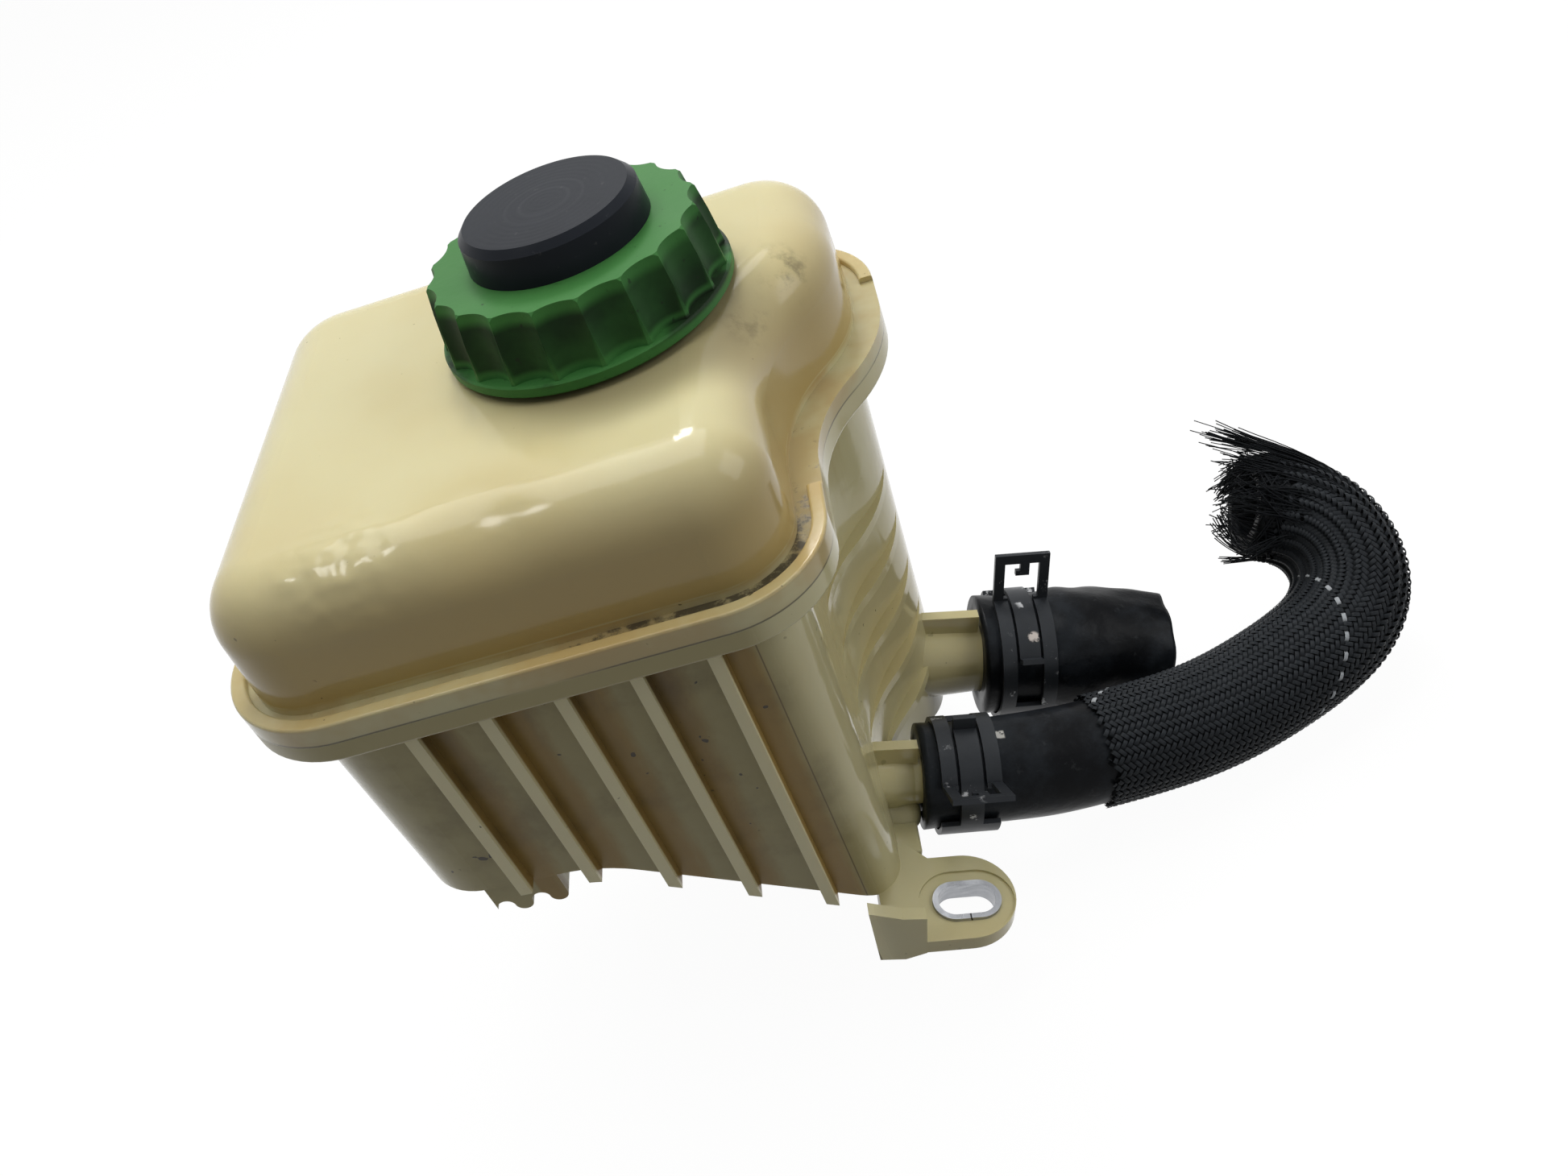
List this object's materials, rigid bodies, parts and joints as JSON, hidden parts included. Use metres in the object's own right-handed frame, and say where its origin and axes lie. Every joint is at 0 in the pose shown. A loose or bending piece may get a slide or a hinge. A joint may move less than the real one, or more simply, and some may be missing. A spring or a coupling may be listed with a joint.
{
  "type": "power steering reservoir",
  "caption": "Moulded two-part fluid tank with a fluted screw cap, sloped ribbed lower shell, slotted mounting ear and two clamped hoses, one in a braided sleeve.",
  "frame": {"origin": "middle of the slotted mounting hole, on the ear's upper face", "axes": "+Z along the filler cap's axis, out of the cap; +X towards the hose side; +Y from the slotted ear's side towards the tank's far side. The ear, its bolt axis and both spigots are turned 15 degrees about +Y from these axes"},
  "size_m": [0.2142, 0.1061, 0.1591],
  "materials": {
    "shell_plastic": "satin, aged cream nylon",
    "cap_plastic": "satin",
    "knob_plastic": "satin",
    "seal_rubber": "matt",
    "dipstick_plastic": "satin",
    "strainer_plastic": "satin",
    "strainer_screen": "fine woven screen",
    "hose_rubber": "satin",
    "sleeve_braid": "woven plastic strands",
    "clamp_steel": "black coated spring steel",
    "bush_metal": "bare, drawn"
  },
  "bodies": {
    "tank": {"upper_shell": "shell_plastic", "lower_shell": "shell_plastic", "mounting_bush": "bush_metal", "strainer_frame": "strainer_plastic", "strainer_mesh": "strainer_screen", "suction_hose": "hose_rubber", "return_hose": "hose_rubber", "braided_sleeve": "sleeve_braid", "suction_clamp": "clamp_steel", "return_clamp": "clamp_steel"},
    "seal": {"cap_seal": "seal_rubber"},
    "cap": {"cap_ring": "cap_plastic", "cap_knob": "knob_plastic", "dipstick": "dipstick_plastic"}
  },
  "joints": [
    {"name": "cap_lift", "type": "slide", "parent": "tank", "child": "seal", "axis": [0, 0, 1], "range_m": [0, 0.008]},
    {"name": "cap_turn", "type": "hinge", "parent": "seal", "child": "cap", "pos_m": [-0.0325, 0.0536, 0.1254], "axis": [0, 0, 1], "range_deg": [0, 720]}
  ],
  "couplings": [
    {"joint": "cap_lift", "follows": "cap_turn", "m_per_rad": 0.0006366}
  ]
}
